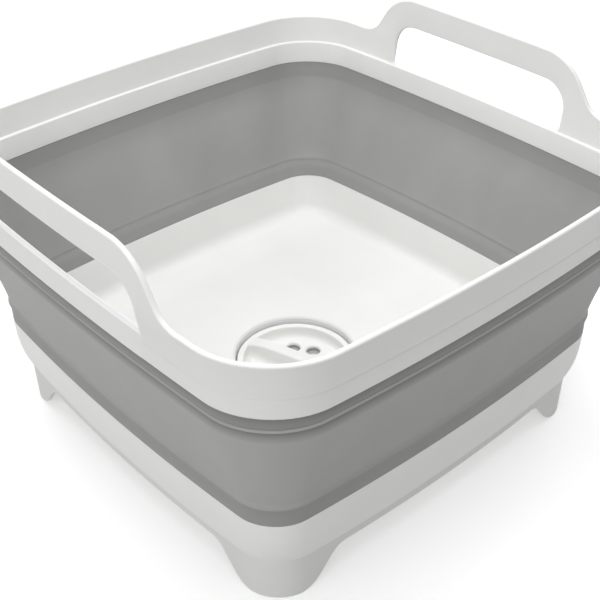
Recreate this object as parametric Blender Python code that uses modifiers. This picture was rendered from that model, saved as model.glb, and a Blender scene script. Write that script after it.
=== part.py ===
"""Collapsible camp washbasin: a white moulded rim with two handles and a white moulded base on four
feet, joined by a soft grey wall that folds so that the rim drops down round the base. A ported plug
in the middle of the floor is turned by its grip bar to let the water out.

Metres, +Z up. The origin is on the ground under the middle of the basin, and the handles are at +X
and -X.
"""

import math

import bmesh
import bpy
from mathutils import Matrix

# The tub from above: a square with bowed sides and round corners, measured at the rim's lower edge.
OUTLINE_HALF = 0.150
HANDLE_SIDE_BOW = 0.0053
PLAIN_SIDE_BOW = 0.0077
RIM_CORNER_RADIUS = 0.038

# Heights of the stacked parts, from the ground up.
FOOT_HEIGHT = 0.022
SKIRT_BAND_HEIGHT = 0.0073
BASE_WALL_HEIGHT = 0.0332
LOWER_BAND_HEIGHT = 0.013
PANEL_HEIGHT = 0.0575
UPPER_BAND_HEIGHT = 0.0165
RIM_HEIGHT = 0.0332
HANDLE_RISE = 0.0297

# Fits: between two touching pieces, and round a piece that turns.
SEAM_GAP = 0.0003
RUNNING_GAP = 0.0015
CUT_OVERRUN = 0.004
MERGE_DISTANCE = 0.00001

# Rim.
RIM_FLARE = 0.0038
RIM_TOP_THICKNESS = 0.004
RIM_UPPER_THICKNESS = 0.0019
RIM_BOTTOM_THICKNESS = 0.0032
RIM_EDGE_ROUND = 0.0005
LEDGE_HEIGHT = 0.0143
STEP_HEIGHT = 0.0118
STEP_DEPTH = 0.0006

# Handles, which rise from the rim's upper edge, and the window under each.
HANDLE_HALF_LENGTH = 0.099
HANDLE_LEAN = 0.0011
HANDLE_FOOT_RADIUS = 0.016
HANDLE_CROWN_RADIUS = 0.0316
HANDLE_SLOPE = math.radians(56.5)
HANDLE_BAR_HEIGHT = 0.0186
WINDOW_HALF_LENGTH = 0.070
WINDOW_CORNER_RADIUS = 0.016
SILL_LIP = 0.0008
SILL_ROUND = 0.0015

# Soft wall: an upper band under the rim with a thin bead, the panel that folds, and a lower band.
UPPER_BAND_INSET = 0.0006
UPPER_BAND_THICKNESS = 0.0028
BEAD_DROP = 0.0065
BEAD_HEIGHT = 0.0014
BEAD_DEPTH = 0.0008
PANEL_TOP_INSET = 0.0026
PANEL_BOTTOM_INSET = 0.0176
PANEL_HOLLOW = 0.0012
PANEL_THICKNESS = 0.002
CREASE_CORNER_RADIUS = 0.0227
CREASE_BULGE = 0.0006
LOWER_BAND_THICKNESS = 0.0026

# Base: the basin's wall and floor, and the skirt that carries the four feet.
BASE_SIDE_BOW = 0.0065
BASE_TOP_INSET = 0.018
BASE_TOP_CORNER_RADIUS = 0.022
BASE_LOW_CORNER_RADIUS = 0.023
BASE_WALL_THICKNESS = 0.003
BASE_WALL_TUCK = 0.0045
BASE_EDGE_ROUND = 0.0006
BASE_LIP_HEIGHT = 0.004
BASE_LIP_THICKNESS = 0.0016
BASE_INNER_DRAFT = 0.0005
FLOOR_LIFT = 0.0042
FLOOR_FALL = 0.0025
FLOOR_THICKNESS = 0.003
FLOOR_FILLET = 0.008
FLOOR_CORNER_RADIUS = 0.014
FLOOR_MIDDLE_HALF = 0.046
FLOOR_MIDDLE_RADIUS = 0.040
SKIRT_INSET = 0.0011
SKIRT_DRAFT = 0.0006
SKIRT_THICKNESS = 0.0026
FOOT_CORNER_RADIUS = 0.020
FOOT_ARCH_RADIUS = 0.012
FOOT_TOE_RADIUS = 0.016
FOOT_SLOPE = math.radians(52)
ARCH_HALF_LENGTH = 0.1088

# Drain: a cup sunk in the floor, a gasket, and the plug with its pocket, ports and grip bar.
CUP_RADIUS = 0.0385
CUP_WALL = 0.0025
CUP_FLOOR = 0.0025
CUP_MOUTH_ROUND = 0.0015
CUP_FOOT_ROUND = 0.002
PLUG_GAP = 0.0008
PLUG_SINK = 0.004
PLUG_RING_WIDTH = 0.0042
PLUG_EDGE_ROUND = 0.0008
PLUG_FLOOR = 0.0022
POCKET_DEPTH = 0.008
POCKET_FILLET = 0.003
GRIP_BAR_WIDTH = 0.0085
GRIP_BAR_END_WIDTH = 0.0115
GRIP_BAR_CROWN = 0.0033
GRIP_BAR_ROUND = 0.0014
GRIP_BAR_DROP = 0.0002
GASKET_THICKNESS = 0.0015
GASKET_MARGIN = 0.002
GASKET_ROUND = 0.0004
PORT_RADIUS = 0.0045
PORT_CIRCLE_RADIUS = 0.022
PORT_COUNT = 3
PORT_PITCH = math.radians(36)
DRAIN_TURN = math.radians(16.5)
SPIGOT_RADIUS = 0.005
SPIGOT_HEAD_RADIUS = 0.0065
SPIGOT_HEAD_HEIGHT = 0.003

# Facets.
CORNER_STEPS = 7
PLAIN_SIDE_STEPS = 4
HANDLE_TOP_STEPS = 3
LOW_ARC_STEPS = 4
HIGH_ARC_STEPS = 6
WINDOW_ARC_STEPS = 7
RIM_BEAD_STEPS = 5
PANEL_STEPS = 5
WALL_STEPS = 6
FILLET_STEPS = 6
UNDER_ARC_STEPS = 3
MOUTH_STEPS = 3
RING_EDGE_STEPS = 4
BAR_STEPS = 10
BAR_ROUND_STEPS = 2
ROUND_SIDES = 48
PORT_SIDES = 20
SHARP_ANGLE = math.radians(35)

# Finishes.
WHITE = (0.84, 0.84, 0.83)
WHITE_ROUGHNESS = 0.35
GREY = (0.31, 0.31, 0.305)
GREY_ROUGHNESS = 0.6

# Heights and insets that follow from the sizes above.
STEP_LINE_Z = FOOT_HEIGHT + SKIRT_BAND_HEIGHT
FLOOR_Z = STEP_LINE_Z + FLOOR_LIFT
FLOOR_EDGE_Z = FLOOR_Z + FLOOR_FALL
BASE_TOP_Z = STEP_LINE_Z + BASE_WALL_HEIGHT
CREASE_Z = BASE_TOP_Z + LOWER_BAND_HEIGHT
PANEL_TOP_Z = CREASE_Z + PANEL_HEIGHT
RIM_BOTTOM_Z = PANEL_TOP_Z + UPPER_BAND_HEIGHT
LEDGE_Z = RIM_BOTTOM_Z + LEDGE_HEIGHT
HANDLE_TOP_Z = RIM_BOTTOM_Z + RIM_HEIGHT + HANDLE_RISE
BASE_LOW_INSET = BASE_TOP_INSET + BASE_WALL_TUCK
PLUG_RADIUS = CUP_RADIUS - PLUG_GAP
PLUG_TOP_Z = FLOOR_Z - PLUG_SINK
POCKET_Z = PLUG_TOP_Z - POCKET_DEPTH
PLUG_UNDER_Z = POCKET_Z - PLUG_FLOOR
GASKET_TOP_Z = PLUG_UNDER_Z - SEAM_GAP
CUP_FLOOR_Z = GASKET_TOP_Z - GASKET_THICKNESS - SEAM_GAP
CUP_UNDER_Z = CUP_FLOOR_Z - CUP_FLOOR


def clear_scene():
    for item in list(bpy.data.objects):
        bpy.data.objects.remove(item, do_unlink=True)


def new_collection(name):
    made = bpy.data.collections.new(name)
    bpy.context.scene.collection.children.link(made)
    return made


def new_material(name, colour, roughness):
    made = bpy.data.materials.new(name)
    made.use_nodes = True
    shader = made.node_tree.nodes["Principled BSDF"]
    shader.inputs["Base Color"].default_value = (*colour, 1)
    shader.inputs["Roughness"].default_value = roughness
    shader.inputs["Metallic"].default_value = 0
    made.diffuse_color = (*colour, 1)
    return made


def add_object(name, builder, home, finish=None):
    """Makes an object of a bmesh. One with no finish is a cutter or a filler for a Boolean."""
    bmesh.ops.recalc_face_normals(builder, faces=builder.faces)
    mesh = bpy.data.meshes.new(name)
    builder.to_mesh(mesh)
    builder.free()
    made = bpy.data.objects.new(name, mesh)
    home.objects.link(made)
    if finish is None:
        made.hide_render = True
        made.display_type = "WIRE"
    else:
        mesh.materials.append(finish)
        mesh.shade_smooth()
        mesh.set_sharp_from_angle(angle=SHARP_ANGLE)
    return made


def combine(target, other, operation):
    """Joins the other object to the target, or cuts it out."""
    modifier = target.modifiers.new(other.name, "BOOLEAN")
    modifier.operation = operation
    modifier.object = other
    modifier.solver = "EXACT"


def spaced(start, end, steps):
    """Steps + 1 values from start to end, both included."""
    return [start + (end - start) * k / steps for k in range(steps + 1)]


def between(start, end, share):
    return start + (end - start) * share


def loft(rings, capped):
    """Joins rings of equally many points into a solid. Its ends are capped, or else the last ring
    joins the first."""
    builder = bmesh.new()
    loops = [[builder.verts.new(point) for point in ring] for ring in rings]
    pairs = list(zip(loops[:-1], loops[1:]))
    if capped:
        builder.faces.new(loops[0])
        builder.faces.new(loops[-1])
    else:
        pairs.append((loops[-1], loops[0]))
    for one, other in pairs:
        for k, vert in enumerate(one):
            after = (k + 1) % len(one)
            builder.faces.new((vert, one[after], other[after], other[k]))
    return builder


def add_turned(name, profile, home, finish=None):
    """Turned solid: a profile of (radius, z) points, whose ends lie on Z, with a Screw modifier."""
    builder = bmesh.new()
    verts = [builder.verts.new((radius, 0, z)) for radius, z in profile]
    for pair in zip(verts[:-1], verts[1:]):
        builder.edges.new(pair)
    made = add_object(name, builder, home, finish)
    screw = made.modifiers.new("turned", "SCREW")
    screw.steps = ROUND_SIDES
    screw.render_steps = ROUND_SIDES
    screw.use_merge_vertices = True
    screw.merge_threshold = MERGE_DISTANCE
    screw.use_normal_calculate = True
    screw.use_normal_flip = True
    return made


def prism(outline_points, depth, turn):
    """Outline of (across, z) points as a filled flat curve, drawn out by the depth both ways from the
    middle along X, then turned about Z."""
    curve = bpy.data.curves.new("outline", "CURVE")
    curve.dimensions = "2D"
    curve.fill_mode = "BOTH"
    curve.extrude = depth
    spline = curve.splines.new("POLY")
    spline.points.add(len(outline_points) - 1)
    spline.use_cyclic_u = True
    for point, (across, z) in zip(spline.points, outline_points):
        point.co = (across, z, 0, 1)
    drawn = bpy.data.objects.new("outline", curve)
    builder = bmesh.new()
    builder.from_mesh(bpy.data.meshes.new_from_object(drawn))
    bpy.data.objects.remove(drawn, do_unlink=True)
    bmesh.ops.remove_doubles(builder, verts=builder.verts, dist=MERGE_DISTANCE)
    upright = Matrix(((0, 0, 1), (1, 0, 0), (0, 1, 0)))
    bmesh.ops.rotate(builder, verts=builder.verts, matrix=Matrix.Rotation(turn, 3, "Z") @ upright)
    return builder


def add_cylinder(builder, radius, low, high, x, y):
    bmesh.ops.create_cone(
        builder, cap_ends=True, segments=PORT_SIDES, radius1=radius, radius2=radius,
        depth=high - low, matrix=Matrix.Translation((x, y, (low + high) / 2)))


def s_curve(height, low_radius, high_radius, slope):
    """Points up an S-shaped slope, as distances in from its foot and heights."""
    points = []
    for angle in spaced(0, slope, LOW_ARC_STEPS):
        points.append((low_radius * math.sin(angle), low_radius * (1 - math.cos(angle))))
    low_run, low_rise = points[-1]
    high_run = high_radius * math.sin(slope)
    high_rise = high_radius * (1 - math.cos(slope))
    length = low_run + (height - low_rise - high_rise) / math.tan(slope) + high_run
    for angle in spaced(slope, 0, HIGH_ARC_STEPS):
        rise = height - high_radius * (1 - math.cos(angle))
        points.append((length - high_radius * math.sin(angle), rise))
    return points


def both_sides(half_shares):
    """Places along a whole side, from those along its half from 0 to 1."""
    return [-share for share in reversed(half_shares[1:])] + half_shares


def outline(inset, corner_radius, handle_side, plain_side):
    """Points round the bowed square at an inset from the rim's lower edge, each as x, y and the
    distance from a handle's middle. The sides' points are shares of the side up to its corners."""
    half = OUTLINE_HALF - inset
    flat = half - corner_radius
    low_share = min(max(inset / BASE_TOP_INSET, 0), 1)
    bow_x = between(HANDLE_SIDE_BOW, BASE_SIDE_BOW, low_share)
    bow_y = between(PLAIN_SIDE_BOW, BASE_SIDE_BOW, low_share)
    points = []
    for quarter in range(4):
        local = []
        for share in (plain_side if quarter % 2 else handle_side):
            local.append((half, share * flat, half if quarter % 2 else abs(share) * flat))
        for angle in spaced(0, math.pi / 2, CORNER_STEPS)[1:-1]:
            x = flat + corner_radius * math.cos(angle)
            y = flat + corner_radius * math.sin(angle)
            local.append((x, y, half))
        for x, y, along in local:
            for _ in range(quarter):
                x, y = -y, x
            out_x = x + bow_x * x / half * (1 - (y / half) ** 2)
            out_y = y + bow_y * y / half * (1 - (x / half) ** 2)
            points.append((out_x, out_y, along))
    return points


def plain_ring(inset, z, corner_radius):
    side = both_sides(spaced(0, 1, PLAIN_SIDE_STEPS))
    return [(x, y, z) for x, y, _ in outline(inset, corner_radius, side, side)]


def handle_curve():
    """Half of a handle's outline, as distances from its middle and rises above the rim."""
    curve = s_curve(HANDLE_RISE, HANDLE_FOOT_RADIUS, HANDLE_CROWN_RADIUS, HANDLE_SLOPE)
    return [(HANDLE_HALF_LENGTH - reach, rise) for reach, rise in curve]


def handle_rise(along, curve):
    """Rise of the rim's upper edge at a distance from a handle's middle."""
    for (outer, low), (inner, high) in zip(curve[:-1], curve[1:]):
        if inner <= along <= outer:
            return between(high, low, (along - inner) / (outer - inner))
    return HANDLE_RISE if along < curve[-1][0] else 0


def rim_ring(inset, z, rises, curve):
    """One ring of the rim. A ring that rises follows the handles' outline."""
    flat = OUTLINE_HALF - RIM_CORNER_RADIUS
    places = spaced(0, curve[-1][0], HANDLE_TOP_STEPS)[:-1]
    places += [along for along, _ in reversed(curve)] + [flat]
    handle_side = both_sides([place / flat for place in places])
    plain_side = both_sides(spaced(0, 1, PLAIN_SIDE_STEPS))
    ring = []
    for x, y, along in outline(inset, RIM_CORNER_RADIUS - inset, handle_side, plain_side):
        rise = handle_rise(along, curve) if rises else 0
        lean = HANDLE_LEAN * rise / HANDLE_RISE
        ring.append((x - math.copysign(lean, x), y, z + rise))
    return ring


def rim_flare(height):
    return RIM_FLARE * height / RIM_HEIGHT


def add_window_cutter(cutters):
    """Cuts the window under both handles, square below and rounded above."""
    low = LEDGE_Z + SILL_LIP
    high = HANDLE_TOP_Z - HANDLE_BAR_HEIGHT
    corner_y = WINDOW_HALF_LENGTH - WINDOW_CORNER_RADIUS
    corner_z = high - WINDOW_CORNER_RADIUS
    half = []
    for angle in spaced(0, math.pi / 2, WINDOW_ARC_STEPS):
        rounded = (corner_y + WINDOW_CORNER_RADIUS * math.cos(angle),
                   corner_z + WINDOW_CORNER_RADIUS * math.sin(angle))
        half.append(rounded)
    right = [(WINDOW_HALF_LENGTH - SILL_ROUND, low), (WINDOW_HALF_LENGTH, low + SILL_ROUND)] + half
    left = [(-across, z) for across, z in reversed(right)]
    return add_object("window_cutter", prism(right + left, OUTLINE_HALF + RIM_HEIGHT, 0), cutters)


def make_top_rim(home, cutters, finish):
    """Rim moulding: a flared wall with a step outside and a ledge inside, and a round upper edge that
    rises over both handles."""
    curve = handle_curve()
    bead = RIM_TOP_THICKNESS / 2
    step_top = STEP_HEIGHT + STEP_DEPTH
    bead_foot = RIM_HEIGHT - RIM_TOP_THICKNESS
    section = [
        (RIM_EDGE_ROUND, 0, False),
        (0, RIM_EDGE_ROUND, False),
        (STEP_DEPTH - rim_flare(STEP_HEIGHT), STEP_HEIGHT, False),
        (-rim_flare(step_top), step_top, False),
        (-rim_flare(bead_foot), bead_foot, False),
    ]
    for angle in spaced(0, math.pi, RIM_BEAD_STEPS):
        inset = bead - RIM_FLARE - bead * math.cos(angle)
        section.append((inset, RIM_HEIGHT - bead + bead * math.sin(angle), True))
    section += [
        (RIM_TOP_THICKNESS - RIM_FLARE, bead_foot, False),
        (RIM_UPPER_THICKNESS - rim_flare(LEDGE_HEIGHT), LEDGE_HEIGHT, False),
        (RIM_BOTTOM_THICKNESS, LEDGE_HEIGHT, False),
        (RIM_BOTTOM_THICKNESS, 0, False),
    ]
    rings = [rim_ring(inset, RIM_BOTTOM_Z + height, rises, curve) for inset, height, rises in section]
    rim = add_object("top_rim", loft(rings, False), home, finish)
    combine(rim, add_window_cutter(cutters), "DIFFERENCE")
    return rim


def add_soft_ring(name, outside, thickness, home, finish):
    """Closed ring of soft wall, from (inset, z, corner radius) levels of its outer face."""
    rings = [plain_ring(inset, z, radius) for inset, z, radius in outside]
    for inset, z, radius in reversed(outside):
        rings.append(plain_ring(inset + thickness, z, radius - thickness))
    return add_object(name, loft(rings, False), home, finish)


def make_wall_top_hem(home, finish):
    """Upper edge of the soft wall, a thick band under the rim with a thin bead round it."""
    top = RIM_BOTTOM_Z - SEAM_GAP
    bead_top = RIM_BOTTOM_Z - BEAD_DROP
    bottom = PANEL_TOP_Z + SEAM_GAP
    bead_bottom = bead_top - BEAD_HEIGHT
    outside = [
        (UPPER_BAND_INSET, top, RIM_CORNER_RADIUS - UPPER_BAND_INSET),
        (UPPER_BAND_INSET + BEAD_DEPTH, bead_top + BEAD_DEPTH, RIM_CORNER_RADIUS - UPPER_BAND_INSET),
        (UPPER_BAND_INSET, bead_top, RIM_CORNER_RADIUS - UPPER_BAND_INSET),
        (UPPER_BAND_INSET, bead_bottom, RIM_CORNER_RADIUS - UPPER_BAND_INSET),
        (UPPER_BAND_INSET + BEAD_DEPTH, bead_bottom - BEAD_DEPTH, RIM_CORNER_RADIUS - UPPER_BAND_INSET),
        (PANEL_TOP_INSET - BEAD_DEPTH, bottom + BEAD_DEPTH, RIM_CORNER_RADIUS - PANEL_TOP_INSET),
        (PANEL_TOP_INSET, bottom, RIM_CORNER_RADIUS - PANEL_TOP_INSET),
    ]
    return add_soft_ring("wall_top_hem", outside, UPPER_BAND_THICKNESS, home, finish)


def make_fold_panel(home, finish):
    """The part of the soft wall that folds, slightly hollow between its two edges."""
    top_radius = RIM_CORNER_RADIUS - PANEL_TOP_INSET
    outside = []
    for share in spaced(0, 1, PANEL_STEPS):
        inset = between(PANEL_TOP_INSET, PANEL_BOTTOM_INSET, share)
        inset += PANEL_HOLLOW * math.sin(math.pi * share)
        z = between(PANEL_TOP_Z, CREASE_Z + SEAM_GAP, share)
        outside.append((inset, z, between(top_radius, CREASE_CORNER_RADIUS, share)))
    return add_soft_ring("fold_panel", outside, PANEL_THICKNESS, home, finish)


def make_wall_bottom_hem(home, finish):
    """Lower edge of the soft wall, a thick band that swells at the crease. It stands on the base's
    upper edge, outside the base's lip."""
    bottom = BASE_TOP_Z + SEAM_GAP
    lip_top = BASE_TOP_Z + BASE_LIP_HEIGHT + SEAM_GAP
    swell = CREASE_BULGE + CREASE_BULGE
    inner_inset = BASE_TOP_INSET + LOWER_BAND_THICKNESS
    inner_radius = BASE_TOP_CORNER_RADIUS - LOWER_BAND_THICKNESS
    lip_inset = BASE_TOP_INSET + BASE_WALL_THICKNESS - BASE_LIP_THICKNESS - SEAM_GAP
    lip_radius = BASE_TOP_CORNER_RADIUS + BASE_TOP_INSET - lip_inset
    levels = [
        (PANEL_BOTTOM_INSET, CREASE_Z, CREASE_CORNER_RADIUS),
        (PANEL_BOTTOM_INSET - CREASE_BULGE, CREASE_Z - swell, CREASE_CORNER_RADIUS),
        (PANEL_BOTTOM_INSET, CREASE_Z - swell - swell, CREASE_CORNER_RADIUS),
        (BASE_TOP_INSET, bottom, BASE_TOP_CORNER_RADIUS),
        (lip_inset, bottom, lip_radius),
        (lip_inset, lip_top, lip_radius),
        (inner_inset, lip_top, inner_radius),
        (PANEL_BOTTOM_INSET + LOWER_BAND_THICKNESS, CREASE_Z, CREASE_CORNER_RADIUS - LOWER_BAND_THICKNESS),
    ]
    rings = [plain_ring(*level) for level in levels]
    return add_object("wall_bottom_hem", loft(rings, False), home, finish)


def base_section():
    """Base's wall, as (inset, z, corner radius) from the middle of its underside outwards, over the
    skirt and the lip on the upper edge, and in again to the floor, which falls towards the drain."""
    inner_inset = BASE_TOP_INSET + BASE_WALL_THICKNESS
    inner_radius = BASE_TOP_CORNER_RADIUS - BASE_WALL_THICKNESS
    lip_inset = inner_inset - BASE_LIP_THICKNESS
    lip_top = BASE_TOP_Z + BASE_LIP_HEIGHT
    fillet_inset = inner_inset + BASE_INNER_DRAFT + FLOOR_FILLET
    fillet_z = FLOOR_EDGE_Z + FLOOR_FILLET
    middle_inset = OUTLINE_HALF - FLOOR_MIDDLE_HALF
    skirt_low_inset = SKIRT_INSET + BASE_LOW_INSET + SKIRT_DRAFT
    skirt_inner_inset = skirt_low_inset + SKIRT_THICKNESS
    skirt_inner_radius = FOOT_CORNER_RADIUS - SKIRT_THICKNESS
    under_fillet = FLOOR_FILLET + FLOOR_THICKNESS
    section = [(middle_inset, FLOOR_Z - FLOOR_THICKNESS, FLOOR_MIDDLE_RADIUS)]
    under_angle = math.asin((fillet_inset - skirt_inner_inset) / under_fillet)
    for angle in spaced(0, under_angle, UNDER_ARC_STEPS):
        radius = between(FLOOR_CORNER_RADIUS, skirt_inner_radius, angle / under_angle)
        inset = fillet_inset - under_fillet * math.sin(angle)
        section.append((inset, fillet_z - under_fillet * math.cos(angle), radius))
    section += [
        (skirt_inner_inset, 0, skirt_inner_radius),
        (skirt_low_inset, 0, FOOT_CORNER_RADIUS),
        (skirt_low_inset - SKIRT_DRAFT, STEP_LINE_Z, FOOT_CORNER_RADIUS),
    ]
    for share in spaced(1, 0, WALL_STEPS):
        inset = BASE_TOP_INSET + BASE_WALL_TUCK * share ** 3
        z = between(BASE_TOP_Z - BASE_EDGE_ROUND, STEP_LINE_Z, share)
        section.append((inset, z, between(BASE_TOP_CORNER_RADIUS, BASE_LOW_CORNER_RADIUS, share)))
    section += [
        (BASE_TOP_INSET + BASE_EDGE_ROUND, BASE_TOP_Z, BASE_TOP_CORNER_RADIUS - BASE_EDGE_ROUND),
        (lip_inset, BASE_TOP_Z, inner_radius + BASE_LIP_THICKNESS),
        (lip_inset, lip_top, inner_radius + BASE_LIP_THICKNESS),
        (inner_inset, lip_top, inner_radius),
    ]
    for angle in spaced(math.pi / 2, 0, FILLET_STEPS):
        radius = between(FLOOR_CORNER_RADIUS, inner_radius, math.sin(angle))
        inset = fillet_inset - FLOOR_FILLET * math.sin(angle)
        section.append((inset, fillet_z - FLOOR_FILLET * math.cos(angle), radius))
    section.append((middle_inset, FLOOR_Z, FLOOR_MIDDLE_RADIUS))
    return section


def add_arch_cutters(cutters):
    """Cuts the skirt away between the feet, under both pairs of sides."""
    half = []
    for reach, height in s_curve(FOOT_HEIGHT, FOOT_TOE_RADIUS, FOOT_ARCH_RADIUS, FOOT_SLOPE):
        half.append((ARCH_HALF_LENGTH - reach, height))
    right = [(ARCH_HALF_LENGTH, -CUT_OVERRUN)] + half
    left = [(-across, z) for across, z in reversed(right)]
    made = []
    for name, turn in (("arch_cutter_x", 0), ("arch_cutter_y", math.pi / 2)):
        made.append(add_object(name, prism(right + left, OUTLINE_HALF, turn), cutters))
    return made


def add_drain_hole_cutter(cutters):
    """The hole in the floor over the drain cup, with its edge rounded into the floor."""
    low = FLOOR_Z - FLOOR_THICKNESS - CUT_OVERRUN
    profile = [(0, low), (CUP_RADIUS, low)]
    for angle in spaced(0, math.pi / 2, MOUTH_STEPS):
        flare = CUP_MOUTH_ROUND * (1 - math.cos(angle))
        profile.append((CUP_RADIUS + flare, FLOOR_Z - CUP_MOUTH_ROUND * (1 - math.sin(angle))))
    profile += [(CUP_RADIUS + CUP_MOUTH_ROUND, FLOOR_Z + CUT_OVERRUN), (0, FLOOR_Z + CUT_OVERRUN)]
    return add_turned("drain_hole_cutter", profile, cutters)


def add_port_cutter(name, low, high, middle_radius, cutters):
    """Cuts the drain's ports, and a hole in the middle where it has a radius."""
    builder = bmesh.new()
    for k in range(PORT_COUNT):
        angle = (k - (PORT_COUNT - 1) / 2) * PORT_PITCH
        x = PORT_CIRCLE_RADIUS * math.cos(angle)
        y = PORT_CIRCLE_RADIUS * math.sin(angle)
        add_cylinder(builder, PORT_RADIUS, low - CUT_OVERRUN, high + CUT_OVERRUN, x, y)
    if middle_radius:
        add_cylinder(builder, middle_radius, low - CUT_OVERRUN, high + CUT_OVERRUN, 0, 0)
    made = add_object(name, builder, cutters)
    made.rotation_euler.z = DRAIN_TURN
    return made


def make_base_tray(home, cutters, finish):
    """Base moulding: the basin's floor and lower wall, and a skirt cut into feet."""
    rings = [plain_ring(*level) for level in base_section()]
    base = add_object("base_tray", loft(rings, True), home, finish)
    for cutter in add_arch_cutters(cutters):
        combine(base, cutter, "DIFFERENCE")
    combine(base, add_drain_hole_cutter(cutters), "DIFFERENCE")
    return base


def make_drain_cup(home, cutters, finish):
    """Cup that hangs under the hole in the floor, with ports in its bottom and a hole for the plug's
    spigot."""
    outer = CUP_RADIUS + CUP_WALL
    top = FLOOR_Z - FLOOR_THICKNESS - SEAM_GAP
    profile = [
        (0, CUP_UNDER_Z),
        (outer - CUP_FOOT_ROUND, CUP_UNDER_Z),
        (outer, CUP_UNDER_Z + CUP_FOOT_ROUND),
        (outer, top),
        (CUP_RADIUS, top),
        (CUP_RADIUS, CUP_FLOOR_Z),
        (0, CUP_FLOOR_Z),
    ]
    cup = add_turned("drain_cup", profile, home, finish)
    head_clearance = SPIGOT_HEAD_RADIUS + RUNNING_GAP
    ports = add_port_cutter("cup_port_cutter", CUP_UNDER_Z, CUP_FLOOR_Z, head_clearance, cutters)
    combine(cup, ports, "DIFFERENCE")
    return cup


def make_drain_gasket(home, cutters, finish):
    """Soft disc between the plug and the cup's floor, with ports that match both."""
    radius = PLUG_RADIUS - GASKET_MARGIN
    low = CUP_FLOOR_Z + SEAM_GAP
    profile = [
        (0, low),
        (radius - GASKET_ROUND, low),
        (radius, low + GASKET_ROUND),
        (radius, GASKET_TOP_Z - GASKET_ROUND),
        (radius - GASKET_ROUND, GASKET_TOP_Z),
        (0, GASKET_TOP_Z),
    ]
    gasket = add_turned("drain_gasket", profile, home, finish)
    hole = SPIGOT_RADIUS + SEAM_GAP
    ports = add_port_cutter("gasket_port_cutter", low, GASKET_TOP_Z, hole, cutters)
    combine(gasket, ports, "DIFFERENCE")
    return gasket


def add_grip_bar(cutters):
    """Bar across the plug's pocket, crowned along its length and wider where it joins the ring."""
    reach = PLUG_RADIUS - PLUG_RING_WIDTH / 2
    rings = []
    for share in spaced(-1, 1, BAR_STEPS):
        half = between(GRIP_BAR_WIDTH, GRIP_BAR_END_WIDTH, share ** 6) / 2
        high = PLUG_TOP_Z - GRIP_BAR_DROP + GRIP_BAR_CROWN * (1 - share ** 4)
        side = [(half, POCKET_Z - PLUG_FLOOR / 2)]
        for angle in spaced(0, math.pi / 2, BAR_ROUND_STEPS):
            across = half - GRIP_BAR_ROUND * (1 - math.cos(angle))
            side.append((across, high - GRIP_BAR_ROUND * (1 - math.sin(angle))))
        section = side + [(-across, height) for across, height in reversed(side)]
        rings.append([(across, share * reach, height) for across, height in section])
    bar = add_object("grip_bar", loft(rings, True), cutters)
    bar.rotation_euler.z = DRAIN_TURN
    return bar


def make_drain_plug(home, cutters, finish):
    """Plug: a shallow cup with a grip bar across it, ports on one side of the bar, and a headed spigot
    that goes down through the gasket."""
    pocket_radius = PLUG_RADIUS - PLUG_RING_WIDTH
    profile = [
        (0, CUP_FLOOR_Z - SPIGOT_HEAD_HEIGHT),
        (SPIGOT_RADIUS, CUP_FLOOR_Z - SPIGOT_HEAD_HEIGHT),
        (SPIGOT_HEAD_RADIUS, CUP_FLOOR_Z - SPIGOT_HEAD_HEIGHT / 3),
        (SPIGOT_HEAD_RADIUS, CUP_FLOOR_Z),
        (SPIGOT_RADIUS, CUP_FLOOR_Z),
        (SPIGOT_RADIUS, PLUG_UNDER_Z),
        (PLUG_RADIUS - PLUG_EDGE_ROUND, PLUG_UNDER_Z),
        (PLUG_RADIUS, PLUG_UNDER_Z + PLUG_EDGE_ROUND),
    ]
    edge = PLUG_RING_WIDTH / 2
    for angle in spaced(0, math.pi, RING_EDGE_STEPS):
        reach = edge * math.cos(angle)
        profile.append((PLUG_RADIUS - edge + reach, PLUG_TOP_Z - PLUG_EDGE_ROUND * (1 - math.sin(angle))))
    for angle in spaced(0, math.pi / 2, MOUTH_STEPS):
        radius = pocket_radius - POCKET_FILLET * (1 - math.cos(angle))
        profile.append((radius, POCKET_Z + POCKET_FILLET * (1 - math.sin(angle))))
    profile.append((0, POCKET_Z))
    plug = add_turned("drain_plug", profile, home, finish)
    combine(plug, add_grip_bar(cutters), "UNION")
    ports = add_port_cutter("plug_port_cutter", PLUG_UNDER_Z, POCKET_Z, 0, cutters)
    combine(plug, ports, "DIFFERENCE")
    return plug


def main():
    clear_scene()
    home = new_collection("camp_washbasin")
    cutters = new_collection("cutters")
    make_base_tray(home, cutters, new_material("base_white", WHITE, WHITE_ROUGHNESS))
    make_drain_cup(home, cutters, new_material("cup_white", WHITE, WHITE_ROUGHNESS))
    make_wall_bottom_hem(home, new_material("bottom_hem_grey", GREY, GREY_ROUGHNESS))
    make_fold_panel(home, new_material("panel_grey", GREY, GREY_ROUGHNESS))
    make_wall_top_hem(home, new_material("top_hem_grey", GREY, GREY_ROUGHNESS))
    make_top_rim(home, cutters, new_material("rim_white", WHITE, WHITE_ROUGHNESS))
    make_drain_gasket(home, cutters, new_material("gasket_grey", GREY, GREY_ROUGHNESS))
    make_drain_plug(home, cutters, new_material("plug_white", WHITE, WHITE_ROUGHNESS))


main()
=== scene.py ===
import math

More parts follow.
